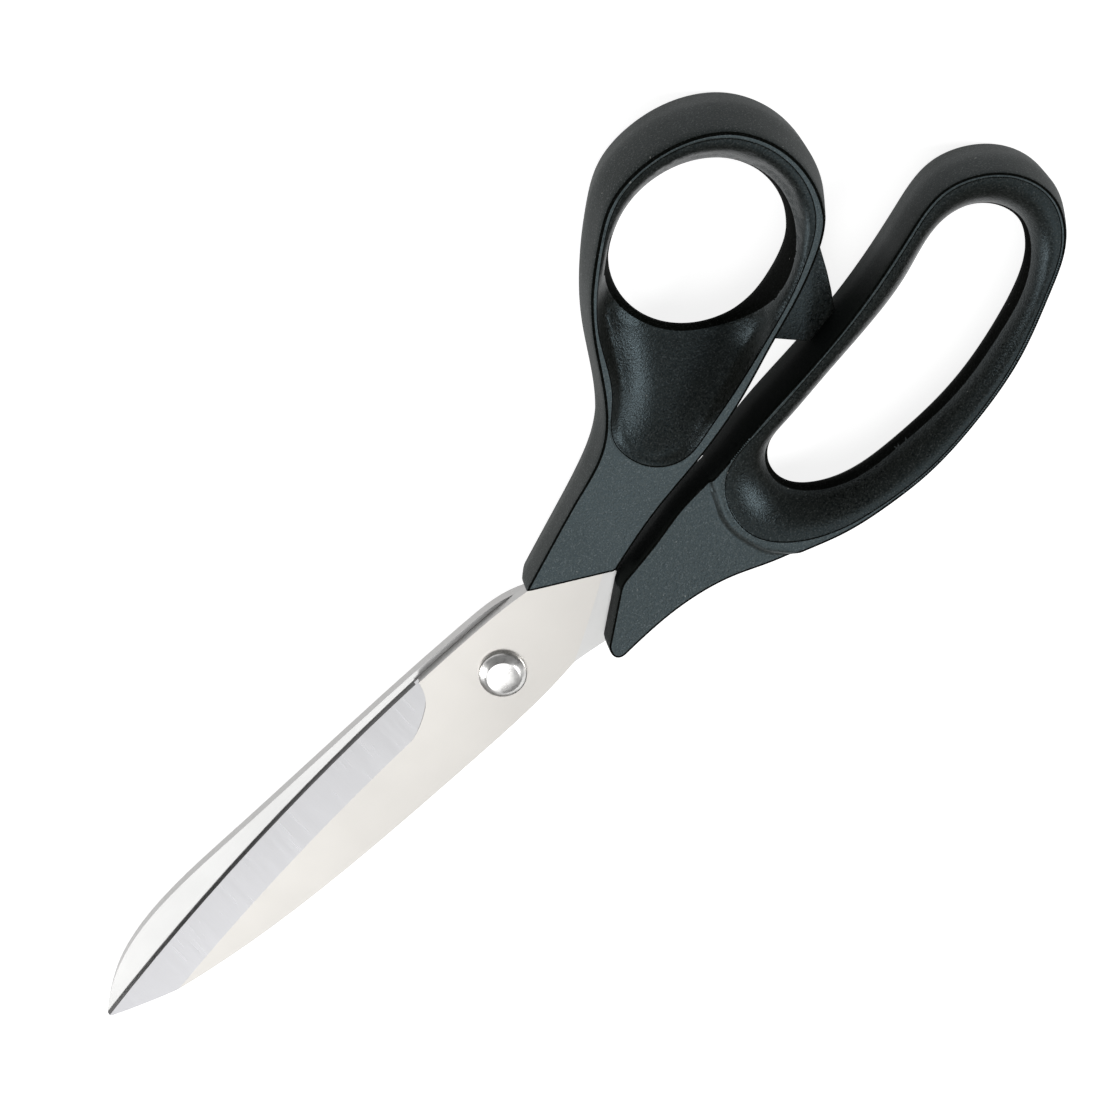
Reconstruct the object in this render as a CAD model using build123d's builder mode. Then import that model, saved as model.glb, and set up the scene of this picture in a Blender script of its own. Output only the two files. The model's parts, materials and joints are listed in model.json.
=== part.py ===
"""Fabric shears: two steel blades on one pivot screw, each with a handle moulded over its tang.

Plan outlines are drawn about the pivot axis: +x runs from the tips to the handles and +y to the
thumb side. z = 0 is the plane where the two blades meet. The handles lie on the table at z = -HANDLE_DROP.
"""

from build123d import *
import os
from math import atan2, cos, hypot, sin

os.makedirs("parts", exist_ok=True)

# ---- driving dimensions, mm ------------------------------------------------------------------

PIVOT_X = -13.53            # pivot axis seen from the middle of the closed shears
PIVOT_Y = -14.01
HANDLE_DROP = 7.8           # from the plane where the blades meet down to the table

BLADE_T = 2.5               # thickness of each blade
BLADE_GAP = 0.05            # from the meeting plane to each blade
TIP_X = -92.6               # where the cutting edge ends
EDGE_CROWN_Y = 8.5          # highest point of the front cutting edge ...
EDGE_CROWN_X = -8.0         # ... and where it is
EDGE_BEND = 0.00101         # how quickly the cutting edge falls away from it
BACK_CROWN_Y = 7.6          # the same for the back cutting edge, on the other side
BACK_BEND = 0.00119
FACET_W = 6.6               # ground facet, measured across the blade
FACET_EDGE_T = 0.75         # blade left under the facet at the cutting edge
MICRO_W = 0.4               # honed strip along the cutting edge
MICRO_EDGE_T = 0.12         # steel left at the very edge

HEAD_R = 4.0                # pivot screw
HEAD_TOP_R = 2.7
HEAD_H = 2.3
NECK_R = 3.0                # keyed neck in the front blade, with two flats
NECK_FLATS = 4.8
SHANK_R = 2.45
BORE_R = 2.50               # bore of the back blade, 0.05 mm clear of the shank
THREAD_R = 1.95
NUT_BORE_R = 2.0
NUT_R = 4.6
NUT_H = 1.9
NUT_SLOT_W = 1.2
NUT_SLOT_DEPTH = 0.7
SPRING_R = 4.3
SPRING_T = 0.35
LINER_R = 5.4               # thin washer between the blades
LINER_T = 0.5
LINER_CLEARANCE = 0.02
SPRING_CONE = 0.22          # how much the spring washer dishes

NOSE_UP = 5.1               # half thickness of a handle at its nose
THUMB_UP = 9.2              # top of the thumb bow above the meeting plane
FINGER_UP = 6.3             # top of the finger bow
THUMB_HOLE = (73.5, 31.25)  # centre of the thumb hole
THUMB_HOLE_RX = 15.0
THUMB_HOLE_RY = 13.0
DRAFT = 0.65                # how far the handle walls lean in from the parting plane to the brim
BRIM_H = 0.4                # height of the bevelled brim of the bows ...
BRIM_W = 0.35               # ... and its width
PEG_R = 1.6                 # plastic pegs through the tangs
LUG_TOP = 0.4               # top of the stop lug

FRONT_Z = BLADE_GAP
FRONT_TOP = FRONT_Z + BLADE_T
BACK_TOP = -BLADE_GAP
BACK_Z = BACK_TOP - BLADE_T


def level(z):
    """Horizontal sketch plane with its origin on the pivot axis."""
    return Plane(origin=(PIVOT_X, PIVOT_Y, HANDLE_DROP + z), x_dir=(1, 0, 0), z_dir=(0, 0, 1))


def station(x):
    """Upright plane across the blades, with local x along +y and local y along +z."""
    return Plane(origin=(PIVOT_X + x, PIVOT_Y, HANDLE_DROP), x_dir=(0, 1, 0), z_dir=(1, 0, 0))


def side_plane(y):
    """Upright plane along the shears, with local x along +x and local y along +z."""
    return Plane(origin=(PIVOT_X, PIVOT_Y + y, HANDLE_DROP), x_dir=(1, 0, 0), z_dir=(0, -1, 0))


def edge_y(x, crown, bend):
    """How far a cutting edge lies from the centre line: a shallow parabola."""
    return crown - bend * (x - EDGE_CROWN_X) ** 2


def ground_off(edge, width, top, edge_top, side=1):
    """Corners of what a grinding pass takes off: side 1 works on the top face of the front blade,
    side -1 on the bottom face of the back blade, where both axes turn round."""
    corners = (
        (edge - width, top),
        (edge + 0.01, edge_top),
        (edge + 3, edge_top),
        (edge + 3, top + 1),
        (edge - width, top + 1),
    )
    return [(side * y, side * z) for y, z in corners]


def inset(points, amount):
    """The points of an anticlockwise outline, each moved inwards square to its neighbours' line."""
    moved = []
    for (x, y), (ax, ay), (bx, by) in zip(points, [points[0]] + points[:-1], points[1:] + [points[-1]]):
        length = hypot(bx - ax, by - ay)
        moved.append((x - amount * (by - ay) / length, y + amount * (bx - ax) / length))
    return moved


def brim_sections(half):
    """Heights above the middle of a bow and how far its wall stands in there."""
    upper = [(half - BRIM_H, DRAFT), (half, DRAFT + BRIM_W)]
    return [(-height, amount) for height, amount in reversed(upper)] + [(0, 0)] + upper


def part_way(rim, throat, shares):
    """Outline between a rim and a throat; share 0 keeps the rim's point, share 1 the throat's."""
    return [(a + f * (c - a), b + f * (d - b)) for (a, b), (c, d), f in zip(rim, throat, shares)]


STATIONS = (-98, -80, -60, -40, -20, 0)
FACET_TOP = BLADE_GAP + FACET_EDGE_T            # blade left at the edge, above the meeting plane
HONE_TOP = FACET_TOP + MICRO_W * 0.26           # where the honed strip starts on the facet
HONE_EDGE = BLADE_GAP + MICRO_EDGE_T


def front_edge(x):
    return edge_y(x, EDGE_CROWN_Y, EDGE_BEND)


def back_edge(x):
    return edge_y(x, BACK_CROWN_Y, BACK_BEND)


# ---- front blade: thumb side, on top ---------------------------------------------------------

FRONT_TANG = (
    (13.5, 7.6), (24.0, 11.0), (35.0, 14.4), (44.0, 19.0),
    (47.5, 15.5), (41.5, 8.6), (27.5, 3.0), (24.3, 1.4),
)
FRONT_PEGS = ((26.5, 7.0), (39.5, 12.0))

with BuildPart() as front_facet_tool:
    for x in STATIONS:
        with BuildSketch(station(x)):
            with BuildLine():
                Polyline(*ground_off(front_edge(x), FACET_W, FRONT_TOP, FACET_TOP), close=True)
            make_face()
    loft()
    with BuildSketch(level(-1)):
        with BuildLine():
            Polyline((-100, 12), (-100, -12), (-26, -12), (-26, 1.5), (-20, 1.7))
            Spline((-20, 1.7), (-15.9, 3.0), (-12.8, 5.0), (-11.0, 8.2), tangents=((1, 0.08), (0.3, 1)))
            Polyline((-11.0, 8.2), (-11.0, 12), (-100, 12))
        make_face()
    extrude(amount=8, mode=Mode.INTERSECT)

with BuildPart() as front_micro_tool:
    for x in STATIONS:
        with BuildSketch(station(x)):
            with BuildLine():
                Polyline(*ground_off(front_edge(x), MICRO_W, HONE_TOP, HONE_EDGE), close=True)
            make_face()
    loft()
    with BuildSketch(level(-1)):
        with Locations((-56, 0)):
            Rectangle(88, 30)
    extrude(amount=8, mode=Mode.INTERSECT)

with BuildPart() as front_blade:
    with BuildSketch(level(FRONT_Z)):
        with BuildLine():
            Spline(*[(x, front_edge(x)) for x in (TIP_X, -75, -55, -35, -15, 2)])
            Spline((2, front_edge(2)), (8.5, 8.1), FRONT_TANG[0])
            Polyline(*FRONT_TANG)
            ThreePointArc(FRONT_TANG[-1], (15.2, -4.0), (9.6, -7.0))
            Spline((9.6, -7.0), (1.0, -7.8), (-14, -8.0), (-34, -7.7), (-56, -6.6), (-80.5, -3.2))
            Spline((-80.5, -3.2), (-87, -1.2), (-92.4, 0.7))
            Line((-92.4, 0.7), (TIP_X, front_edge(TIP_X)))
        make_face()
        with Locations(*FRONT_PEGS):
            Circle(PEG_R, mode=Mode.SUBTRACT)
        with BuildSketch(mode=Mode.SUBTRACT):
            Circle(NECK_R)
            Rectangle(2 * NECK_R, NECK_FLATS, mode=Mode.INTERSECT)
    extrude(amount=BLADE_T)
    add(front_facet_tool.part, mode=Mode.SUBTRACT)
    add(front_micro_tool.part, mode=Mode.SUBTRACT)
    with BuildSketch(level(FRONT_Z)):
        Circle(LINER_R + 0.1)
    extrude(amount=LINER_T / 2 - BLADE_GAP + LINER_CLEARANCE, mode=Mode.SUBTRACT)
front_blade.part.label = "front_blade"
export_step(front_blade.part, "parts/front_blade.step")

# ---- back blade: finger side, underneath -----------------------------------------------------

BACK_TANG = (
    (25.3, -3.2), (34.0, -1.8), (46.5, -2.6), (52.0, -6.0),
    (49.0, -11.0), (39.0, -10.6), (27.0, -9.6), (18.0, -9.4),
)
BACK_PEGS = ((31.0, -6.0), (43.5, -6.6))

with BuildPart() as back_facet_tool:
    for x in STATIONS:
        with BuildSketch(station(x)):
            with BuildLine():
                Polyline(*ground_off(back_edge(x), FACET_W, FRONT_TOP, FACET_TOP, -1), close=True)
            make_face()
    loft()
    with BuildSketch(level(-5)):
        with BuildLine():
            Polyline(
                (-20, -1.7), (-26, -1.5), (-26, 12), (-100, 12), (-100, -12), (-11.0, -12), (-11.0, -8.2),
            )
            Spline(
                (-11.0, -8.2), (-12.8, -5.0), (-15.9, -3.0), (-20, -1.7),
                tangents=((-0.3, 1), (-1, 0.08)),
            )
        make_face()
    extrude(amount=8, mode=Mode.INTERSECT)

with BuildPart() as back_micro_tool:
    for x in STATIONS:
        with BuildSketch(station(x)):
            with BuildLine():
                Polyline(*ground_off(back_edge(x), MICRO_W, HONE_TOP, HONE_EDGE, -1), close=True)
            make_face()
    loft()
    with BuildSketch(level(-5)):
        with Locations((-56, 0)):
            Rectangle(88, 30)
    extrude(amount=8, mode=Mode.INTERSECT)

with BuildPart() as back_blade:
    with BuildSketch(level(BACK_Z)):
        with BuildLine():
            Spline(*[(x, -back_edge(x)) for x in (TIP_X, -75, -55, -35, -15, 2)])
            Spline((2, -back_edge(2)), (9.0, -8.0), BACK_TANG[-1])
            Polyline(*reversed(BACK_TANG))
            Polyline(BACK_TANG[0], (24.9, 0.6), (12.6, 7.0))
            Spline(
                (12.6, 7.0), (8.3, 8.5), (1, 9.2), (-19, 9.5), (-53.5, 9.4), (-70, 9.1), (-82, 7.0),
                (TIP_X, 1.3),
            )
            Line((TIP_X, 1.3), (TIP_X, -back_edge(TIP_X)))
        make_face()
        with Locations(*BACK_PEGS):
            Circle(PEG_R, mode=Mode.SUBTRACT)
        Circle(BORE_R, mode=Mode.SUBTRACT)
    extrude(amount=BLADE_T)
    add(back_facet_tool.part, mode=Mode.SUBTRACT)
    add(back_micro_tool.part, mode=Mode.SUBTRACT)
    with BuildSketch(level(-LINER_T / 2)):
        Circle(LINER_R + 0.1)
    extrude(amount=LINER_T, mode=Mode.SUBTRACT)
back_blade.part.label = "back_blade"
export_step(back_blade.part, "parts/back_blade.step")

# ---- pivot: screw, washer between the blades, spring washer and nut -----------------------------

PIVOT_AXIS = Axis((PIVOT_X, PIVOT_Y, 0), (0, 0, 1))
RECESS_TOP = LINER_T / 2 + LINER_CLEARANCE
NUT_TOP = BACK_Z - 0.7
NUT_BOTTOM = NUT_TOP - NUT_H

with BuildPart() as pivot_screw:
    with BuildSketch(side_plane(0)):
        with BuildLine():
            Polyline((0, FRONT_TOP + HEAD_H), (0, FRONT_TOP), (HEAD_R, FRONT_TOP), (HEAD_R, FRONT_TOP + 0.5))
            Spline(
                (HEAD_R, FRONT_TOP + 0.5),
                (3.5, FRONT_TOP + 1.45),
                (HEAD_TOP_R, FRONT_TOP + HEAD_H - 0.18),
                tangents=((0, 1), (-1, 0.5)),
            )
            Spline(
                (HEAD_TOP_R, FRONT_TOP + HEAD_H - 0.18),
                (0, FRONT_TOP + HEAD_H),
                tangents=((-1, 0.22), (-1, 0)),
            )
        make_face()
    revolve(axis=PIVOT_AXIS)
    with BuildSketch(level(RECESS_TOP)):
        Circle(NECK_R)
        Rectangle(2 * NECK_R, NECK_FLATS, mode=Mode.INTERSECT)
    extrude(amount=FRONT_TOP - RECESS_TOP)
    with BuildSketch(level(BACK_Z)):
        Circle(SHANK_R)
    extrude(amount=RECESS_TOP - BACK_Z)
    with BuildSketch(level(NUT_BOTTOM + NUT_SLOT_DEPTH)):
        Circle(THREAD_R)
    extrude(amount=BACK_Z - NUT_BOTTOM - NUT_SLOT_DEPTH)
pivot_screw.part.label = "pivot_screw"
export_step(pivot_screw.part, "parts/pivot_screw.step")

with BuildPart() as liner_washer:
    with BuildSketch(level(-LINER_T / 2)):
        Circle(LINER_R)
        Circle(SHANK_R + 0.08, mode=Mode.SUBTRACT)
    extrude(amount=LINER_T)
liner_washer.part.label = "liner_washer"
export_step(liner_washer.part, "parts/liner_washer.step")

with BuildPart() as spring_washer:
    with BuildSketch(side_plane(0)):
        with BuildLine():
            Polyline(
                (THREAD_R + 0.3, BACK_Z - 0.03),
                (SPRING_R, BACK_Z - 0.03 - SPRING_CONE),
                (SPRING_R, BACK_Z - 0.03 - SPRING_CONE - SPRING_T),
                (THREAD_R + 0.3, BACK_Z - 0.03 - SPRING_T),
                close=True,
            )
        make_face()
    revolve(axis=PIVOT_AXIS)
spring_washer.part.label = "spring_washer"
export_step(spring_washer.part, "parts/spring_washer.step")

with BuildPart() as pivot_nut:
    with BuildSketch(level(NUT_BOTTOM)):
        Circle(NUT_R)
        Circle(NUT_BORE_R, mode=Mode.SUBTRACT)
    extrude(amount=NUT_H)
    chamfer(pivot_nut.edges().filter_by(GeomType.CIRCLE).group_by(Axis.Z)[0].sort_by(SortBy.RADIUS)[-1], 0.5)
    with BuildSketch(level(NUT_BOTTOM)):
        Rectangle(3 * NUT_R, NUT_SLOT_W)
    extrude(amount=NUT_SLOT_DEPTH, mode=Mode.SUBTRACT)
pivot_nut.part.label = "pivot_nut"
export_step(pivot_nut.part, "parts/pivot_nut.step")

# ---- thumb handle: moulded over the front blade's tang -------------------------------------------

THUMB_MID = (THUMB_UP - HANDLE_DROP) / 2
THUMB_HALF = (THUMB_UP + HANDLE_DROP) / 2
THUMB_OUTLINE = [
    (27.0, 0.5), (38.7, 3.9), (48.9, 5.9), (60.5, 8.9), (72.2, 12.4), (79.8, 15.0), (86.4, 17.9),
    (91.8, 22.0), (95.1, 28.5), (96.0, 35.8), (92.9, 44.2), (86.1, 49.1), (77.4, 51.0), (69.6, 50.0),
    (62.8, 46.2), (56.6, 40.6), (51.2, 34.3), (45.3, 25.5), (41.5, 21.2), (37.4, 18.2), (32.6, 16.0),
    (24.8, 13.2), (14.2, 9.5),
]
THUMB_NOSE = [(14.2, 9.5), (13.1, 8.7), (14.0, 7.6)]
THUMB_FRONT = [(25.2, 0.95), (26.1, 0.5), (27.0, 0.5)]
THUMB_RIM = [
    (41.4, 18.2), (41.4, 13.4), (44.0, 9.6), (48.8, 8.3), (55.0, 9.5), (63.2, 11.6), (72.2, 14.4),
    (79.6, 16.9), (85.5, 20.0), (90.2, 25.0), (92.5, 30.5), (92.6, 36.2), (89.9, 41.9), (84.4, 46.4),
    (77.1, 48.2), (70.1, 47.3), (63.9, 44.1), (58.4, 39.0), (53.3, 32.6), (47.6, 25.0),
]
THUMB_SHARES = [
    0.16, 0.15, 0.16, 0.2, 0.28, 0.4, 0.6, 0.72, 0.75, 0.75, 0.75, 0.75, 0.75, 0.75, 0.75, 0.75,
    0.72, 0.66, 0.42, 0.22,
]


def on_thumb_hole(point):
    """Point of the oval thumb hole that lies towards a point of the rim."""
    angle = atan2(point[1] - THUMB_HOLE[1], point[0] - THUMB_HOLE[0])
    return THUMB_HOLE[0] + THUMB_HOLE_RX * cos(angle), THUMB_HOLE[1] + THUMB_HOLE_RY * sin(angle)


THUMB_THROAT = [on_thumb_hole(point) for point in THUMB_RIM]
THUMB_WAIST = part_way(THUMB_RIM, THUMB_THROAT, THUMB_SHARES)

with BuildPart() as thumb_funnel:
    for height, outline in (
        (THUMB_HALF + 0.4, THUMB_RIM),
        (0.55 * THUMB_HALF, THUMB_WAIST),
        (0, THUMB_THROAT),
    ):
        with BuildSketch(level(THUMB_MID + height)):
            with BuildLine():
                Spline(*outline, periodic=True)
            make_face()
    loft()

with BuildPart() as thumb_handle:
    for height, amount in brim_sections(THUMB_HALF):
        with BuildSketch(level(THUMB_MID + height)):
            with BuildLine():
                wall = inset(THUMB_OUTLINE, amount)
                Spline(*wall)
                ThreePointArc(wall[-1], (THUMB_NOSE[1][0] + amount / 2, THUMB_NOSE[1][1]), THUMB_NOSE[2])
                Line(THUMB_NOSE[2], THUMB_FRONT[0])
                ThreePointArc(THUMB_FRONT[0], (THUMB_FRONT[1][0], THUMB_FRONT[1][1] + amount / 2), wall[0])
            make_face()
    loft(ruled=True)
    with BuildSketch(side_plane(0)):
        with BuildLine():
            Line((5, -NOSE_UP), (5, NOSE_UP))
            Spline(
                (5, NOSE_UP), (26, NOSE_UP + 0.2), (44, 6.6), (60, THUMB_UP - 0.3), (70, THUMB_UP),
                tangents=((1, 0), (1, 0)),
            )
            Polyline((70, THUMB_UP), (100, THUMB_UP), (100, -HANDLE_DROP), (70, -HANDLE_DROP))
            Spline(
                (70, -HANDLE_DROP), (60, 0.3 - HANDLE_DROP), (44, -6.4), (26, -NOSE_UP - 0.2), (5, -NOSE_UP),
                tangents=((-1, 0), (-1, 0)),
            )
        make_face()
    extrude(amount=60, both=True, mode=Mode.INTERSECT)
    add(thumb_funnel.part, mode=Mode.SUBTRACT)
    mirror(thumb_funnel.part, about=level(THUMB_MID), mode=Mode.SUBTRACT)
    with BuildSketch(level(LUG_TOP)):
        with BuildLine():
            Polyline(
                (88.0, 19.5), (84.6, 12.9), (82.9, 10.0), (81.0, 7.2), (74.6, 6.12), (70.0, 11.6),
                (76.0, 15.2),
                close=True,
            )
        make_face()
    extrude(amount=-5.5)
    add(front_blade.part, mode=Mode.SUBTRACT)
thumb_handle.part.label = "thumb_handle"
export_step(thumb_handle.part, "parts/thumb_handle.step")

# ---- finger handle: moulded over the back blade's tang -------------------------------------------

FINGER_MID = (FINGER_UP - HANDLE_DROP) / 2
FINGER_HALF = (FINGER_UP + HANDLE_DROP) / 2
FINGER_THROAT = [
    (103.5, 6.4), (109.4, 4.3), (112.1, -1.7), (108.7, -7.5), (97.8, -13.0), (85.0, -16.0), (72.3, -16.3),
    (60.4, -13.9), (55.2, -7.0), (57.4, -2.2), (63.0, -0.6), (71.9, 0.6), (82.9, 1.9), (93.5, 3.9),
]
FINGER_RIM = [
    (104.6, 10.9), (112.4, 9.3), (117.3, -0.2), (112.6, -9.4), (98.8, -16.5), (85.0, -19.9), (71.5, -21.2),
    (56.5, -18.9), (46.2, -8.2), (49.5, 0.6), (60.0, 3.0), (71.0, 4.1), (82.5, 5.9), (93.0, 8.0),
]
FINGER_SHARES = [0.75, 0.75, 0.75, 0.75, 0.75, 0.75, 0.75, 0.6, 0.45, 0.6, 0.75, 0.75, 0.75, 0.75]
FINGER_WAIST = part_way(FINGER_RIM, FINGER_THROAT, FINGER_SHARES)

with BuildPart() as finger_funnel:
    for height, outline in (
        (FINGER_HALF + 0.3, FINGER_RIM),
        (0.55 * FINGER_HALF, FINGER_WAIST),
        (0, FINGER_THROAT),
    ):
        with BuildSketch(level(FINGER_MID + height)):
            with BuildLine():
                Spline(*outline, periodic=True)
            make_face()
    loft()

FINGER_OUTLINE = [
    (49.6, -18.3), (57.0, -21.0), (65.4, -22.5), (73.5, -23.0), (85.0, -21.8), (98.1, -18.4),
    (108.4, -13.6), (115.9, -8.2), (119.3, -1.3), (119.2, 5.1), (115.1, 10.6), (107.6, 12.9),
    (98.3, 11.2), (86.2, 8.0), (70.4, 5.5), (58.8, 4.2), (48.6, 2.6),
]
FINGER_CREASE = [(48.6, 2.6), (46.0, -1.4), (44.5, -5.6), (44.6, -9.4), (46.2, -14.3), (49.6, -18.3)]

with BuildPart() as finger_handle:
    for height, amount in brim_sections(FINGER_HALF):
        with BuildSketch(level(FINGER_MID + height)):
            with BuildLine():
                wall = inset(FINGER_OUTLINE, amount)
                Spline(*wall)
                Spline(wall[-1], *FINGER_CREASE[1:-1], wall[0])
            make_face()
    loft(ruled=True)
    with BuildSketch(level(0)):
        with BuildLine():
            Spline((56.0, 3.6), (48.6, 2.4), (41.1, 1.9), (34.8, 0.6), (24.9, -1.2))
            Line((24.9, -1.2), (15.9, -7.7))
            Spline((15.9, -7.7), (15.1, -9.2), (16.0, -11.3), (17.8, -11.6), tangents=((-1, -0.72), (1, 0)))
            Spline((17.8, -11.6), (24.9, -11.5), (32.5, -12.2), (39.5, -14.1), (44.7, -16.4), (56.0, -20.0))
            Line((56.0, -20.0), (56.0, 3.6))
        make_face()
    extrude(amount=NOSE_UP, both=True)
    add(finger_funnel.part, mode=Mode.SUBTRACT)
    mirror(finger_funnel.part, about=level(FINGER_MID), mode=Mode.SUBTRACT)
    add(back_blade.part, mode=Mode.SUBTRACT)
finger_handle.part.label = "finger_handle"
export_step(finger_handle.part, "parts/finger_handle.step")
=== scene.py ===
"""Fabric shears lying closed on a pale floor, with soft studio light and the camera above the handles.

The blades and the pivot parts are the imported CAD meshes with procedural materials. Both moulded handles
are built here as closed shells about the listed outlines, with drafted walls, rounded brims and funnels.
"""
import json
import math

import bpy
import numpy as np
from mathutils import Matrix, Vector
from mathutils.geometry import delaunay_2d_cdt


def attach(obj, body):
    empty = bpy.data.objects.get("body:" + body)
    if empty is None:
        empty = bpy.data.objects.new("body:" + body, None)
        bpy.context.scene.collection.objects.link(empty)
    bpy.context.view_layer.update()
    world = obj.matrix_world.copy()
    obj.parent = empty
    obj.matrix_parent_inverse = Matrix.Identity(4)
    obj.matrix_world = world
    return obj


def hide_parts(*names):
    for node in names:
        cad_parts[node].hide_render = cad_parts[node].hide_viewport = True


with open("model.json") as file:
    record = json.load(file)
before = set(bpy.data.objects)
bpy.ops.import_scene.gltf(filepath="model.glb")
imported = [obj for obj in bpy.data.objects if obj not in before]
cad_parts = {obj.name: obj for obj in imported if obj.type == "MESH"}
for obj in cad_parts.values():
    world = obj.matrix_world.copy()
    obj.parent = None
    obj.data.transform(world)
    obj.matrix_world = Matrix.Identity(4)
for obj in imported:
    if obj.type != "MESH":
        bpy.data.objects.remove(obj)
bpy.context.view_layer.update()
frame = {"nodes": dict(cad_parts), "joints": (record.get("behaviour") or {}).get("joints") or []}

NODES = frame["nodes"]
JOINTS = {joint["name"]: joint for joint in frame["joints"]}
PIVOT = Vector(JOINTS["blade_pivot"]["pos_m"])
SCENE = bpy.context.scene
MM = 0.001


# ---- camera ------------------------------------------------------------------------------------

def add_camera():
    """Long lens over the handles: the shears cross the square frame from lower left to upper right."""
    lean = math.radians(24.0)
    towards = math.radians(53.0)
    roll = math.radians(46.0)
    distance = 0.650
    aim = PIVOT + Vector((0.0201, 0.0094, 0.0))
    sight = Vector((
        math.sin(lean) * math.cos(towards),
        math.sin(lean) * math.sin(towards),
        math.cos(lean),
    ))
    north = Vector((math.cos(roll), math.sin(roll), 0.0))
    right = north.cross(sight).normalized()
    data = bpy.data.cameras.new("camera")
    data.sensor_width = 36.0
    data.lens = 130.7
    data.clip_start = 0.01
    camera = bpy.data.objects.new("camera", data)
    turn = Matrix((right, sight.cross(right), sight)).transposed()
    camera.matrix_world = Matrix.Translation(aim + sight * distance) @ turn.to_4x4()
    SCENE.collection.objects.link(camera)
    SCENE.camera = camera


# ---- node helpers ------------------------------------------------------------------------------

class Shade:
    """A new material with short ways to add and wire nodes."""

    def __init__(self, name):
        self.material = bpy.data.materials.new(name)
        self.material.use_nodes = True
        self.tree = self.material.node_tree
        self.bsdf = self.tree.nodes["Principled BSDF"]

    def node(self, kind, **values):
        made = self.tree.nodes.new(kind)
        for key, value in values.items():
            setattr(made, key, value)
        return made

    def link(self, source, target):
        self.tree.links.new(source, target)

    def set(self, **values):
        for key, value in values.items():
            self.bsdf.inputs[key.replace("_", " ")].default_value = value

    def place(self, stretch=(1, 1, 1)):
        """Object coordinates, stretched along each axis."""
        mapping = self.node("ShaderNodeMapping")
        mapping.inputs["Scale"].default_value = stretch
        self.link(self.node("ShaderNodeTexCoord").outputs["Object"], mapping.inputs["Vector"])
        return mapping.outputs["Vector"]

    def noise(self, vector, scale, detail=2.0, rough=0.5):
        made = self.node("ShaderNodeTexNoise")
        made.inputs["Scale"].default_value = scale
        made.inputs["Detail"].default_value = detail
        made.inputs["Roughness"].default_value = rough
        self.link(vector, made.inputs["Vector"])
        return made.outputs["Fac"]

    def span(self, value, low, high, out_low=0.0, out_high=1.0):
        """Value carried from low..high to out_low..out_high, and held at the ends."""
        made = self.node("ShaderNodeMapRange")
        limits = {"From Min": low, "From Max": high, "To Min": out_low, "To Max": out_high}
        for key, number in limits.items():
            made.inputs[key].default_value = number
        self.link(value, made.inputs["Value"])
        return made.outputs["Result"]

    def mix(self, amount, first, second):
        """Colour mix; each of the two may be a socket or a colour.

        Inputs 6 and 7 of the node are its two colours, and output 2 is the mixed one.
        """
        made = self.node("ShaderNodeMix", data_type="RGBA")
        self.link(amount, made.inputs["Factor"])
        for value, socket in ((first, made.inputs[6]), (second, made.inputs[7])):
            if isinstance(value, tuple):
                socket.default_value = (*value, 1.0)
            else:
                self.link(value, socket)
        return made.outputs[2]

    def maths(self, kind, first, second):
        """Result of a maths node; each of the two may be a socket or a number."""
        made = self.node("ShaderNodeMath", operation=kind)
        for value, socket in zip((first, second), made.inputs):
            if isinstance(value, (int, float)):
                socket.default_value = value
            else:
                self.link(value, socket)
        return made.outputs["Value"]

    def bump(self, height, depth, strength, after=None):
        made = self.node("ShaderNodeBump")
        made.inputs["Strength"].default_value = strength
        made.inputs["Distance"].default_value = depth
        self.link(height, made.inputs["Height"])
        if after is not None:
            self.link(after, made.inputs["Normal"])
        return made.outputs["Normal"]

    def wire(self, **sockets):
        """Links sockets to the shader's inputs of the same names and gives the finished material."""
        for key, socket in sockets.items():
            self.link(socket, self.bsdf.inputs[key.replace("_", " ")])
        return self.material


# ---- materials ---------------------------------------------------------------------------------

def moulded_plastic(name, gloss, low, high, depth, dust_and_shade=0.060, painted_shade_span=None):
    """Black plastic with a spark-eroded grain and a few pale specks of dirt.

    gloss is the specular level, low and high limit the roughness, depth is the height of the grain in
    metres and dust_and_shade is the lightness of its grain tops and flecks, set lower on the darker copies
    as painted shade. painted_shade_span gives the two x places, in metres, below which a painted shade
    makes the plastic near black and fully rough; the shade fades out towards the second place.
    """
    shade = Shade(name)
    here = shade.place()
    grain = shade.noise(here, 3000.0, 2.0, 0.65)
    pebble = shade.noise(here, 1100.0, 1.0)
    cloud = shade.noise(here, 70.0, 3.0)
    speck = shade.span(shade.noise(here, 1500.0, 0.0), 0.885, 0.905)
    salt = shade.span(grain, 0.38, 0.68)
    fleck = shade.span(shade.noise(here, 3600.0, 1.0), 0.56, 0.74)
    base = shade.mix(salt, (0.0004, 0.0006, 0.0001), (0.45 * dust_and_shade, 0.48 * dust_and_shade, 0.40 * dust_and_shade))
    haze = shade.span(cloud, 0.35, 0.65, 0.0, 0.35)
    base = shade.mix(haze, base, (0.18 * dust_and_shade, 0.19 * dust_and_shade, 0.15 * dust_and_shade))
    base = shade.mix(fleck, base, (dust_and_shade, 1.06 * dust_and_shade, 1.03 * dust_and_shade))
    base = shade.mix(speck, base, (0.14, 0.14, 0.13))
    broad = shade.span(cloud, 0.3, 0.7, low, high)
    fine = shade.span(grain, 0.3, 0.7, -0.07, 0.07)
    rough = shade.maths("ADD", broad, fine)
    # Painted shade along the gap wall: near black and fully rough below the first x place, fading out by
    # the second.
    if painted_shade_span:
        split = shade.node("ShaderNodeSeparateXYZ")
        shade.link(here, split.inputs["Vector"])
        unshaded_share = shade.span(split.outputs["X"], *painted_shade_span)
        base = shade.mix(unshaded_share, (0.0040, 0.0042, 0.0022), base)
        rough = shade.maths("MAXIMUM", rough, shade.span(unshaded_share, 0.0, 1.0, 1.0, 0.0))
    normal = shade.bump(pebble, 0.4 * depth, 0.5)
    normal = shade.bump(grain, depth, 0.8, normal)
    shade.set(Specular_IOR_Level=gloss, Specular_Tint=(0.68, 0.90, 1.0, 1.0))
    return shade.wire(Base_Color=base, Roughness=rough, Normal=normal)


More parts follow.
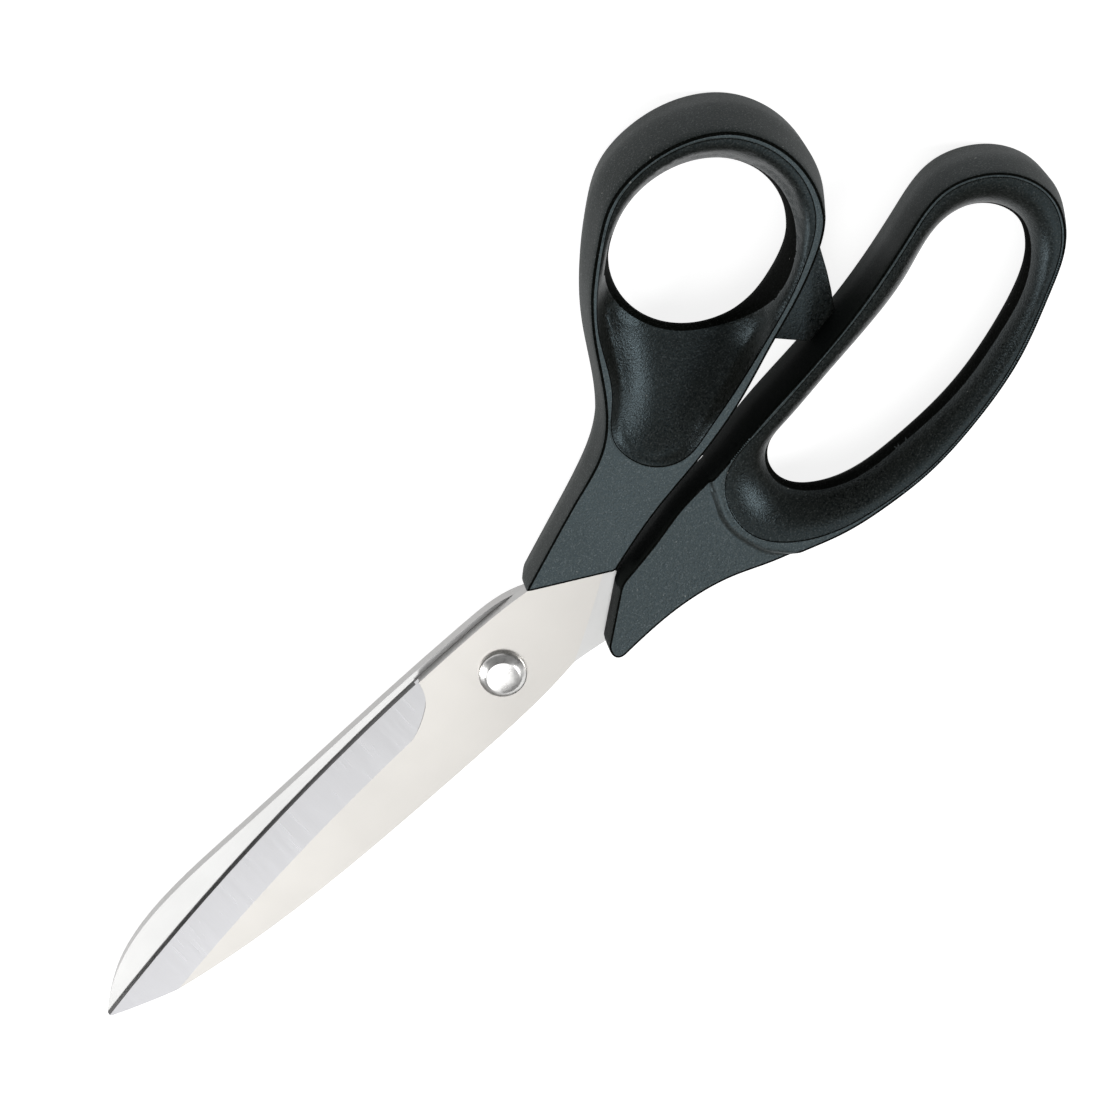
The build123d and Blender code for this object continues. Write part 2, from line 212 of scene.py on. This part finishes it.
def blade_steel(name, low, high):
    """Satin stainless steel of colours low to high on the flats, shaded by the slope of each surface.

    The ground facets carry cross lines and a painted light gradient, darker near the pivot and lighter
    towards the tip; steep bevels are painted dark.
    """
    shade = Shade(name)
    along = shade.noise(shade.place((60, 2600, 400)), 1.0, 3.0, 0.6)
    across = shade.noise(shade.place((2400, 40, 400)), 1.0, 3.0, 0.6)
    cloud = shade.noise(shade.place(), 45.0, 4.0, 0.6)
    geometry = shade.node("ShaderNodeNewGeometry")
    split = shade.node("ShaderNodeSeparateXYZ")
    shade.link(geometry.outputs["True Normal"], split.inputs["Vector"])
    upright = shade.maths("ABSOLUTE", split.outputs["Z"], 0.0)
    ground = shade.span(upright, 0.990, 0.980)
    side = shade.span(upright, 0.5, 0.3)
    bevel = shade.span(upright, 0.94, 0.88)
    flat = shade.mix(cloud, low, high)
    # Painted light along the blade: the facets are darker near the pivot and lighter towards the tip.
    shaded_facet = shade.mix(across, (0.40, 0.40, 0.41), (0.46, 0.46, 0.47))
    lit_facet = shade.mix(across, (0.47, 0.47, 0.485), (0.55, 0.55, 0.565))
    place = shade.node("ShaderNodeSeparateXYZ")
    shade.link(shade.place(), place.inputs["Vector"])
    facet = shade.mix(shade.span(place.outputs["X"], -0.035, -0.100), shaded_facet, lit_facet)
    base = shade.mix(ground, flat, facet)
    base = shade.mix(bevel, base, (0.09, 0.09, 0.09))
    base = shade.mix(side, base, (0.38, 0.375, 0.37))
    grind = shade.mix(ground, along, across)
    normal = shade.bump(grind, 0.000012, 0.35)
    shade.set(Metallic=1.0)
    rough = shade.span(shade.mix(ground, cloud, across), 0.3, 0.7, 0.27, 0.35)
    return shade.wire(Base_Color=base, Roughness=rough, Normal=normal)


def turned_steel(name, colour, low, high):
    """Turned metal: rings about the pivot axis and faint stains; its roughness runs from low to high."""
    shade = Shade(name)
    shift = shade.node("ShaderNodeVectorMath", operation="SUBTRACT")
    shade.link(shade.place(), shift.inputs[0])
    shift.inputs[1].default_value = (PIVOT.x, PIVOT.y, 0.0)
    split = shade.node("ShaderNodeSeparateXYZ")
    shade.link(shift.outputs["Vector"], split.inputs["Vector"])
    square_x = shade.maths("POWER", split.outputs["X"], 2.0)
    square_y = shade.maths("POWER", split.outputs["Y"], 2.0)
    radius = shade.maths("SQRT", shade.maths("ADD", square_x, square_y), 0.0)
    rings = shade.node("ShaderNodeTexNoise", noise_dimensions="1D")
    rings.inputs["Scale"].default_value = 2200.0
    shade.link(radius, rings.inputs["W"])
    stain = shade.noise(shade.place(), 600.0, 4.0, 0.7)
    dark = tuple(0.78 * part for part in colour)
    base = shade.mix(shade.span(stain, 0.42, 0.62), dark, colour)
    normal = shade.bump(rings.outputs["Fac"], 0.00002, 0.3)
    shade.set(Metallic=1.0)
    return shade.wire(Base_Color=base, Roughness=shade.span(stain, 0.3, 0.7, low, high), Normal=normal)


def milky_nylon():
    shade = Shade("milky_nylon")
    cloud = shade.noise(shade.place(), 500.0, 3.0)
    base = shade.mix(cloud, (0.62, 0.60, 0.54), (0.74, 0.72, 0.66))
    shade.set(Subsurface_Weight=0.1)
    return shade.wire(Base_Color=base, Roughness=shade.span(cloud, 0.3, 0.7, 0.35, 0.5),
                      Normal=shade.bump(cloud, 0.00002, 0.3))


def give(node, material):
    data = NODES[node].data
    data.materials.clear()
    data.materials.append(material)


# Kinds of handle surface, numbered in the order of their materials.
FLAT, FUNNEL, WALL, EDGE, GAP_WALL = range(5)
# The funnel, wall, edge and gap wall plastics are darker, duller copies of the grained plastic: painted
# shade.
HANDLE_MATERIALS = (
    moulded_plastic("grained_plastic", 0.80, 0.38, 0.44, 0.00007),
    moulded_plastic("funnel_plastic", 0.31, 0.31, 0.37, 0.00009, 0.036),
    moulded_plastic("wall_plastic", 0.22, 0.58, 0.66, 0.00006, 0.050),
    moulded_plastic("edge_plastic", 0.02, 0.80, 0.88, 0.00003, 0.010),
    # This copy adds a painted shade on the gap wall, darker towards the nose.
    moulded_plastic("gap_wall_plastic", 0.22, 0.58, 0.66, 0.00006, 0.050, (0.070, 0.098)),
)
give("front_blade", blade_steel("front_steel", (0.50, 0.485, 0.46), (0.55, 0.535, 0.51)))
give("back_blade", blade_steel("back_steel", (0.505, 0.505, 0.50), (0.545, 0.545, 0.54)))
give("pivot_screw", turned_steel("polished_head", (0.90, 0.895, 0.88), 0.24, 0.34))
give("pivot_nut", turned_steel("plated_nut", (0.62, 0.60, 0.56), 0.25, 0.38))
give("spring_washer", turned_steel("spring_steel", (0.42, 0.41, 0.40), 0.30, 0.42))
give("liner_washer", milky_nylon())


# ---- curves ------------------------------------------------------------------------------------

CURVE_STEP = 0.2
LOOP_STEP = 0.4
BATCH = 2000


def smooth_step(low, high, value):
    share = np.clip((value - low) / (high - low), 0.0, 1.0)
    return share * share * (3.0 - 2.0 * share)


def spline(points, closed=False):
    """Cubic spline through points, parameterised by chord length and sampled about every CURVE_STEP."""
    points = np.array(points, float)
    if closed:
        points = np.vstack([points[-3:], points, points[:4]])
    spans = np.hypot(*np.diff(points, axis=0).T)
    knots = np.concatenate([[0], np.cumsum(spans)])
    count = len(points)
    system = np.eye(count)
    right = np.zeros((count, 2))
    for i in range(1, count - 1):
        system[i, i - 1:i + 2] = spans[i - 1], 2 * (spans[i - 1] + spans[i]), spans[i]
        right[i] = 6 * ((points[i + 1] - points[i]) / spans[i] - (points[i] - points[i - 1]) / spans[i - 1])
    bend = np.linalg.solve(system, right)
    first, last = (3, count - 4) if closed else (0, count - 1)
    places = np.linspace(knots[first], knots[last], int((knots[last] - knots[first]) / CURVE_STEP) + 2)
    if closed:
        places = places[:-1]
    cell = np.clip(np.searchsorted(knots, places, side="right") - 1, 0, count - 2)
    span = spans[cell]
    b = ((places - knots[cell]) / span)[:, None]
    a = 1 - b
    span = span[:, None]
    return (a * points[cell] + b * points[cell + 1]
            + ((a ** 3 - a) * bend[cell] + (b ** 3 - b) * bend[cell + 1]) * span ** 2 / 6)


def rounded(first, corner, last, steps=8):
    """Curve from first to last that bends round a corner."""
    t = np.linspace(0, 1, steps)[:, None]
    first, corner, last = (np.array(p, float) for p in (first, corner, last))
    return (1 - t) ** 2 * first + 2 * t * (1 - t) * corner + t ** 2 * last


def resample(loop, step=LOOP_STEP):
    """Closed loop of points at even distances."""
    ring = np.vstack([loop, loop[:1]])
    spans = np.hypot(*np.diff(ring, axis=0).T)
    ring = ring[np.concatenate([[True], spans > 1e-9])]
    spans = spans[spans > 1e-9]
    along = np.concatenate([[0], np.cumsum(spans)])
    places = np.linspace(0, along[-1], int(along[-1] / step) + 1)[:-1]
    return np.stack([np.interp(places, along, side) for side in ring.T], 1)


def inward(loop):
    """Unit vectors square to an anticlockwise loop, pointing inside it."""
    along = np.roll(loop, -1, 0) - np.roll(loop, 1, 0)
    along /= np.hypot(*along.T)[:, None]
    return np.stack([-along[:, 1], along[:, 0]], 1)


def distance(points, loop, closed=True):
    """Distance from each point to a polyline."""
    start = loop if closed else loop[:-1]
    side = np.roll(loop, -1, 0) - loop if closed else loop[1:] - loop[:-1]
    length = (side ** 2).sum(1)
    result = np.empty(len(points))
    for low in range(0, len(points), BATCH):
        offset = points[low:low + BATCH, None] - start
        share = np.clip((offset * side).sum(2) / length, 0, 1)
        result[low:low + BATCH] = np.sqrt(((offset - share[..., None] * side) ** 2).sum(2).min(1))
    return result


def inside(points, loop):
    """Even-odd test of each point against a closed loop."""
    ax, ay = loop.T
    bx, by = np.roll(loop, -1, 0).T
    result = np.zeros(len(points), bool)
    for low in range(0, len(points), BATCH):
        x, y = points[low:low + BATCH].T[..., None]
        crossed = (ay > y) != (by > y)
        at = ax + (y - ay) / np.where(by == ay, 1e-12, by - ay) * (bx - ax)
        result[low:low + BATCH] = (crossed & (x < at)).sum(1) % 2 == 1
    return result


# ---- handle shells -----------------------------------------------------------------------------
# Lengths are in millimetres. The brim is the outer edge of the top, the rim is where the top turns down
# into the funnel, and the throat is the edge of the hole.

# Rows of vertices beside each loop, by their distance from it, and the step of the grid between them.
BRIM_ROWS = (0.25, 0.5, 0.8, 1.2)
RIM_ROWS = (0.15, 0.3, 0.6, 1.0, 1.5)
THROAT_ROWS = (0.25, 0.55, 0.95, 1.4)
GRID_STEP = 0.5
# Widths of the dull edges along the brim and inside the rim, which take the near-black edge plastic as
# painted shade.
BRIM_EDGE = 0.20
RIM_EDGE = 0.13
# Heights this near to the rim or the throat are never eased.
RIM_HELD = 1.6
THROAT_HELD = 1.2
# Half the height of the upright land in the hole.
LAND = 0.5
# Wall profile from the parting plane to the brim, as shares of the lean inwards and of the height.
PROFILE = ((0.0, 0.0), (0.20, 0.3), (0.44, 0.6), (0.66, 0.85), (0.79, 0.95), (0.88, 0.983), (0.94, 0.995))


def beside(loop, inwards, width, others):
    """Row of points at a width from loop, without those that come too close to it or to other loops."""
    row = loop + inward(loop) * (width if inwards else -width)
    good = distance(row, loop) > width - 0.04
    for other, room in others:
        good &= distance(row, other) > room
    return row[good]


def plan_points(brim, rim, throat):
    """Points between brim and throat: the three loops first, then rows beside them and a grid."""
    rows = [brim, throat, rim]
    rows += [beside(brim, True, w, ((rim, 0.2), (throat, 0.5))) for w in BRIM_ROWS]
    rows += [beside(rim, True, w, ((throat, 0.35), (brim, 0.2))) for w in RIM_ROWS]
    rows += [beside(throat, False, w, ((rim, 0.3 + w), (brim, 0.3))) for w in THROAT_ROWS]
    low, high = brim.min(0), brim.max(0)
    xs = np.arange(low[0], high[0], GRID_STEP)
    ys = np.arange(low[1], high[1], GRID_STEP)
    grid = np.stack(np.meshgrid(xs, ys), -1).reshape(-1, 2)
    grid[:, 0] += 0.5 * GRID_STEP * (np.round((grid[:, 1] - low[1]) / GRID_STEP) % 2)
    to_rim = distance(grid, rim)
    clear = (distance(grid, brim) > 1.5) & (distance(grid, throat) > 1.75)
    clear &= np.where(inside(grid, rim), to_rim > 1.8, to_rim > 0.3)
    points = np.vstack(rows + [grid[clear]])
    kept = inside(points, brim) & ~inside(points, throat)
    kept[:len(brim) + len(throat)] = True
    return points[kept]


def plan_kinds(middle, brim, rim, throat, band):
    """Kind of surface at the middle of each triangle of the plan."""
    # Inside the rim the darker funnel plastic and along the brim, rim and throat the near-black edge
    # plastic, both painted shade.
    kinds = np.where(inside(middle, rim), FUNNEL, FLAT)
    kinds[(kinds == FUNNEL) & (distance(middle, rim) < RIM_EDGE)] = EDGE
    kinds[(distance(middle, brim) < BRIM_EDGE) | (distance(middle, throat) < band)] = EDGE
    return kinds


def plan_mesh(brim, rim, throat, band):
    """Triangles of the plan between brim and throat, with the rim as an edge line between them."""
    points = plan_points(brim, rim, throat)
    edges, start = [], 0
    for loop in (brim, throat, rim):
        edges += [(start + i, start + (i + 1) % len(loop)) for i in range(len(loop))]
        start += len(loop)
    made = delaunay_2d_cdt([Vector(p) for p in points], edges, [], 0, 1e-7)
    verts = np.array([tuple(v) for v in made[0]])
    faces = np.array(made[2])
    middle = verts[faces].mean(1)
    kept = inside(middle, brim) & ~inside(middle, throat)
    faces = faces[kept]
    kinds = plan_kinds(middle[kept], brim, rim, throat, band)
    a, b, c = verts[faces].transpose(1, 0, 2)
    turn = (b - a)[:, 0] * (c - a)[:, 1] - (b - a)[:, 1] * (c - a)[:, 0]
    faces = np.where(turn[:, None] > 0, faces, faces[:, ::-1])
    origin = {old: new for new, olds in enumerate(made[3]) for old in olds}
    count = len(brim)
    throat_ids = [origin[count + i] for i in range(len(throat))]
    return verts, faces, kinds, [origin[i] for i in range(count)], throat_ids


def between(lower, upper):
    """Quads between two rings of vertex numbers."""
    size = len(lower)
    return [(lower[i], lower[(i + 1) % size], upper[(i + 1) % size], upper[i]) for i in range(size)]


def eased(values, faces, free, rounds):
    """Heights whose free vertices are drawn towards the mean of their neighbours."""
    pairs = np.vstack([faces[:, [0, 1]], faces[:, [1, 2]], faces[:, [2, 0]]])
    pairs = np.vstack([pairs, pairs[:, ::-1]])
    size = len(values)
    count = np.maximum(np.bincount(pairs[:, 0], minlength=size), 1)
    for _ in range(rounds):
        mean = np.bincount(pairs[:, 0], values[pairs[:, 1]], size) / count
        values = np.where(free, mean, values)
    return values


def shell(name, outline, rim, throat, widths, heights, band, rounds):
    """Closed mesh: top and bottom height fields, drafted wall outside, upright land in the hole.

    widths(outline) gives how far the wall leans in up to the top brim and down to the bottom one.
    heights(points) gives the top and bottom of the handle, counted from the parting plane, and both are
    eased inside the rim for the given rounds. band is the width of the dull band round the hole, which
    takes the near-black edge plastic as painted shade.
    """
    normals = inward(outline)
    lean_top, lean_bottom = widths(outline)
    brim = outline + normals * lean_top[:, None]
    verts, faces, kinds, brim_ids, throat_ids = plan_mesh(brim, rim, throat, band)
    free = inside(verts, rim) & (distance(verts, rim) > RIM_HELD) & (distance(verts, throat) > THROAT_HELD)
    top, bottom = (eased(level, faces, free, rounds) for level in heights(verts))
    top[throat_ids], bottom[throat_ids] = LAND, -LAND
    lower = verts.copy()
    lower[brim_ids] = outline + normals * lean_bottom[:, None]
    mesh = [np.column_stack([verts, top]), np.column_stack([lower, bottom])]
    count = len(verts)
    polygons = [tuple(f) for f in faces] + [tuple(f[::-1] + count) for f in faces]
    kinds = 2 * list(kinds)
    rings = [[i + count for i in brim_ids]]
    used = 2 * count
    for lean, edge, shares in (
        (lean_bottom, bottom[brim_ids], PROFILE[::-1]),
        (lean_top, top[brim_ids], PROFILE[1:]),
    ):
        for inset, rise in shares:
            ring = outline + normals * (lean * inset)[:, None]
            mesh.append(np.column_stack([ring, edge * rise]))
            rings.append(list(range(used, used + len(ring))))
            used += len(ring)
    rings.append(brim_ids)
    for number, (lower_ring, upper_ring) in enumerate(zip(rings, rings[1:])):
        # The two wall rings next to each brim take the near-black edge plastic, a painted line of shade.
        near_brim = min(number, len(rings) - 2 - number) < 2
        kinds += [EDGE if near_brim else WALL] * len(lower_ring)
        polygons += between(lower_ring, upper_ring)
    # The upright land in the hole takes the near-black edge plastic as painted shade.
    polygons += between(throat_ids, [i + count for i in throat_ids])
    kinds += [EDGE] * len(throat_ids)
    return build(name, np.vstack(mesh), polygons, kinds)


def build(name, points, polygons, kinds):
    """Mesh object from points in millimetres about the pivot axis and the plane where the blades meet."""
    data = bpy.data.meshes.new(name)
    places = np.asarray(points) * MM + np.array(PIVOT)
    data.from_pydata([tuple(p) for p in places], [], [tuple(int(i) for i in f) for f in polygons])
    data.shade_smooth()
    data.set_sharp_from_angle(angle=math.radians(50))
    for material in HANDLE_MATERIALS:
        data.materials.append(material)
    data.polygons.foreach_set("material_index", [int(kind) for kind in kinds])
    made = bpy.data.objects.new(name, data)
    SCENE.collection.objects.link(made)
    return made


def funnel(u, v):
    """Share of the height left inside a rim, at u from the rim and v from the throat."""
    share = np.clip(u / np.maximum(u + v, 1e-6), 0, 1)
    return np.clip(1 - share ** 2.2, 0, 1) ** 0.72


def lipped(share, u, v, least):
    """Shares with 1 outside the rim and a fine lip inside it, and nowhere under least."""
    share = np.where(u > 0, share, 1.0) - 0.02 * smooth_step(0.0, 0.2, u) * (v > 0.3)
    return np.clip(share, least, 1)


# How far the noses reach above and below the parting plane, and how much further the bows do.
NOSE_HEIGHT = 5.1
BOW_DROP = 2.7
THUMB_RISE = 4.1
FINGER_RISE = 1.2


# ---- thumb handle ------------------------------------------------------------------------------

THUMB_OUTLINE = [
    (27.0, 0.5), (38.8, 3.7), (49.0, 5.6), (60.7, 8.4), (72.2, 12.4), (79.8, 15.0), (86.4, 17.9),
    (92.1, 21.8), (95.7, 28.3), (96.2, 35.9), (92.7, 43.9), (86.1, 48.9), (77.6, 51.0), (69.6, 50.0),
    (63.0, 46.0), (56.6, 40.6), (51.2, 34.3), (45.3, 25.5), (41.5, 21.2), (37.4, 18.2), (32.6, 16.0),
    (24.8, 13.2), (14.2, 9.5),
]
THUMB_RIM = [
    (42.0, 17.8), (42.0, 13.4), (44.1, 9.9), (48.3, 8.1), (54.1, 9.1), (59.9, 10.7), (71.7, 14.2),
    (79.2, 16.8), (85.5, 19.8), (90.4, 23.3), (93.4, 29.0), (93.6, 35.5), (90.6, 42.1), (85.0, 46.3),
    (77.5, 48.2), (70.6, 47.4), (64.3, 43.9), (58.1, 38.8), (53.1, 33.2), (47.3, 24.0),
]
THUMB_OVAL = (73.5, 31.25, 15.0, 13.0)
# Floor of the long dish: its length out from the throat and its rise over that length.
DISH_LENGTH = 17.0
DISH_RISE = 4.4


def oval_loop(x, y, rx, ry):
    angle = np.linspace(0, 2 * math.pi, int(2 * math.pi * rx / LOOP_STEP))[:-1]
    return np.stack([x + rx * np.cos(angle), y + ry * np.sin(angle)], 1)


def thumb_heights(points):
    """Top and bottom of the thumb handle; towards the nose the funnel is a long dish for the thumb."""
    rise = smooth_step(24, 68, points[:, 0])
    up = NOSE_HEIGHT + THUMB_RISE * rise
    down = NOSE_HEIGHT + BOW_DROP * rise
    rim = resample(spline(THUMB_RIM, True))
    throat = oval_loop(*THUMB_OVAL)
    u = np.where(inside(points, rim), distance(points, rim), 0)
    v = distance(points, throat)
    ring = funnel(u, v)
    floor = LAND + DISH_RISE * (v / DISH_LENGTH) ** 0.95
    slope = 0.055 * np.clip(7.8 - u, 0, None) ** 2
    slope *= np.clip((up - floor) / 4.2, 0, 1)
    wall = (up - floor - slope) * (1 - smooth_step(-0.3, 1.5, u)) / (1 - smooth_step(-0.3, 1.5, 0.0))
    dish = (floor + slope + wall) / up
    towards_nose = (THUMB_OVAL[0] - points[:, 0]) * 0.86 + (THUMB_OVAL[1] - points[:, 1]) * 0.51
    share = ring + (dish - ring) * smooth_step(3.0, 15.0, towards_nose)
    share = lipped(share, u, v, LAND / 8.2)
    return up * share, -down * share


def thumb_handle():
    """Closed shell of the thumb handle, whose wall leans in most at the back and the far end."""
    body = spline(THUMB_OUTLINE)
    nose = rounded((14.2, 9.5), (12.2, 8.7), (14.0, 7.6))
    front = rounded((25.2, 0.95), (26.0, 0.3), (27.0, 0.5))
    outline = resample(np.vstack([body, nose[1:], front]))
    rim = resample(spline(THUMB_RIM, True))
    throat = oval_loop(*THUMB_OVAL)

    def widths(points):
        bow = smooth_step(34, 70, points[:, 0])
        outward = -inward(points)
        back = np.clip(outward @ np.array([-0.68, 0.73]), 0, 1) * smooth_step(28, 42, points[:, 0])
        far = np.clip(outward @ np.array([0.69, 0.72]), 0, 1)
        return 0.7 + 0.3 * bow + 0.7 * back + bow * far, 0.65 + 0.1 * bow

    made = shell("thumb_bow", outline, rim, throat, widths, thumb_heights, band=1.0, rounds=12)
    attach(made, "thumb_side")
    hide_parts("thumb_handle")


# ---- finger handle -----------------------------------------------------------------------------

FINGER_OUTLINE = [
    (17.8, -11.6), (24.9, -11.5), (32.5, -12.2), (39.5, -14.1), (44.7, -16.4), (49.6, -18.3),
    (57.0, -21.0), (65.4, -22.5), (73.5, -23.0), (85.0, -21.8), (98.1, -18.4), (108.4, -13.6),
    (116.3, -8.5), (119.9, -1.3), (118.9, 4.7), (114.5, 10.0), (107.4, 12.8), (98.3, 11.2), (86.2, 8.0),
    (70.4, 5.5), (58.8, 4.2), (48.6, 2.6), (41.1, 1.9), (34.8, 0.6), (26.2, -0.8),
]
FINGER_CREASE = [
    (51.5, 6.0), (48.6, 2.6), (46.0, -1.4), (44.5, -5.6), (44.6, -9.4), (46.2, -14.3), (49.6, -18.1),
    (54, -22),
]
FINGER_THROAT = [
    (103.5, 6.4), (109.4, 4.3), (112.1, -1.7), (108.7, -7.5), (97.8, -13.0), (85.0, -16.0), (72.3, -16.3),
    (60.4, -13.9), (55.2, -7.0), (57.5, -2.5), (63.1, -1.0), (72.1, 0.2), (83.0, 1.6), (93.5, 3.8),
]
FINGER_RIM = [
    (107.2, 11.2), (113.4, 8.9), (117.5, 4.1), (118.4, -1.1), (115.1, -7.6), (107.9, -12.3), (97.5, -17.1),
    (84.6, -20.5), (73.7, -21.6), (65.5, -21.0), (57.5, -19.3), (51.0, -15.9), (46.7, -10.4), (46.8, -4.4),
    (50.6, 0.8), (59.2, 2.7), (70.7, 4.0), (86.7, 6.5), (98.8, 9.7),
]


def finger_heights(points):
    """Top and bottom of the finger handle, with the low step of the bow along the crease."""
    crease = spline(FINGER_CREASE)
    beyond = distance(points, crease, closed=False)
    west = inside(points, np.vstack([crease, [(10, -30), (10, 8)]]))
    step = smooth_step(-0.15, 0.75, np.where(west, -beyond, beyond))
    up = NOSE_HEIGHT + FINGER_RISE * step
    down = NOSE_HEIGHT + BOW_DROP * step
    rim = resample(spline(FINGER_RIM, True))
    throat = resample(spline(FINGER_THROAT, True))
    u = np.where(inside(points, rim), distance(points, rim), 0)
    v = distance(points, throat)
    share = funnel(u, v)
    share = lipped(share, u, v, LAND / 6.3)
    return up * share, -down * share


def finger_handle():
    """Closed shell of the finger handle; its wall along the gap takes the plastic with painted shade,
    darker towards the nose.
    """
    body = spline(FINGER_OUTLINE)
    corner = rounded((26.2, -0.8), (24.9, -1.1), (24.0, -1.8))
    nose = spline([(15.9, -7.7), (15.1, -9.2), (15.2, -10.6), (16.3, -11.5), (17.8, -11.6)])
    outline = resample(np.vstack([body, corner[1:], nose[:-1]]))
    rim = resample(spline(FINGER_RIM, True)[::-1])
    throat = resample(spline(FINGER_THROAT, True)[::-1])

    def widths(points):
        bow = smooth_step(40, 60, points[:, 0])
        return 0.65 + 0.35 * bow, 0.65 + 0.1 * bow

    made = shell("finger_bow", outline, rim, throat, widths, finger_heights, band=0.45, rounds=0)
    # Wall faces turned towards the thumb handle, from the pivot on, take the gap wall plastic with its
    # painted shade.
    for face in made.data.polygons:
        side = face.normal.x * -0.2 + face.normal.y * 0.98
        if face.material_index == WALL and side > 0.5 and face.center.y > PIVOT.y - 0.002:
            face.material_index = GAP_WALL
    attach(made, "finger_side")
    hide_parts("finger_handle")


# ---- stop lug ----------------------------------------------------------------------------------

LUG_CORNERS = np.array([
    (76.0, 15.2), (70.0, 11.6), (74.6, 6.12), (81.0, 7.2), (82.9, 10.0), (84.6, 12.9), (88.0, 19.5),
])
LUG_ROUND = 0.5
LUG_STEP = 0.35
# Height of each ring of the block, and how far the ring is drawn inwards.
LUG_RINGS = ((-5.1, 0.3), (-5.02, 0.1), (-4.8, 0.0), (0.1, 0.0), (0.32, 0.1), (0.4, 0.3))


def stop_lug():
    """Block on the thumb bow that the finger bow's side meets when the shears close."""
    loop = []
    for before, corner, after in zip(np.roll(LUG_CORNERS, 1, 0), LUG_CORNERS, np.roll(LUG_CORNERS, -1, 0)):
        ends = [corner + LUG_ROUND * (p - corner) / math.dist(p, corner) for p in (before, after)]
        loop.append(rounded(ends[0], corner, ends[1], 5))
    outline = resample(np.vstack(loop), LUG_STEP)
    normals = inward(outline)
    points = [np.column_stack([outline + normals * w, np.full(len(outline), z)]) for z, w in LUG_RINGS]
    size = len(outline)
    last = (len(LUG_RINGS) - 1) * size
    faces = [tuple(range(size - 1, -1, -1)), tuple(range(last, last + size))]
    for start in range(0, last, size):
        faces += between(range(start, start + size), range(start + size, start + 2 * size))
    # The lug's top takes the darker funnel plastic and its sides the wall plastic, as painted shade.
    kinds = [FLAT, FUNNEL] + [WALL] * (len(faces) - 2)
    made = build("thumb_stop_lug", np.vstack(points), faces, kinds)
    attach(made, "thumb_side")


thumb_handle()
stop_lug()
finger_handle()


# ---- floor and light ---------------------------------------------------------------------------

FLOOR_SIZE = 6.0
FLOOR_Z = -0.0002
LIGHT_REACH = 1.2


def add_floor():
    """Pale matt plane just under the part, bright enough to look white."""
    shade = Shade("studio_floor")
    cloud = shade.noise(shade.place(), 3.0)
    base = shade.mix(cloud, (0.42, 0.42, 0.42), (0.44, 0.44, 0.44))
    shade.set(Roughness=0.9, Emission_Color=(1, 1, 1, 1), Emission_Strength=0.85)
    shade.wire(Base_Color=base)
    bpy.ops.mesh.primitive_plane_add(size=FLOOR_SIZE, location=(0, 0, FLOOR_Z))
    floor = bpy.context.object
    floor.name = "floor"
    floor.data.materials.append(shade.material)


def add_area(name, direction, size, energy):
    """White area light at LIGHT_REACH in the given direction, facing the origin."""
    data = bpy.data.lights.new(name, "AREA")
    data.shape = "RECTANGLE"
    data.size, data.size_y = size
    data.energy = energy
    light = bpy.data.objects.new(name, data)
    place = Vector(direction).normalized() * LIGHT_REACH
    light.location = place
    light.rotation_euler = place.to_track_quat("Z", "Y").to_euler()
    SCENE.collection.objects.link(light)


def add_world():
    world = bpy.data.worlds.new("studio")
    world.use_nodes = True
    background = world.node_tree.nodes["Background"]
    background.inputs["Color"].default_value = (1, 1, 1, 1)
    background.inputs["Strength"].default_value = 0.20
    SCENE.world = world


add_camera()
add_floor()
add_world()
SCENE.view_settings.view_transform = "Standard"
add_area("overhead", (-0.36, -0.10, 0.92), (0.75, 1.1), 5.6)
add_area("key", (0.55, -0.50, 0.64), (0.34, 0.34), 8.0)
add_area("side", (-0.80, 0.52, 0.22), (0.40, 0.30), 7.0)
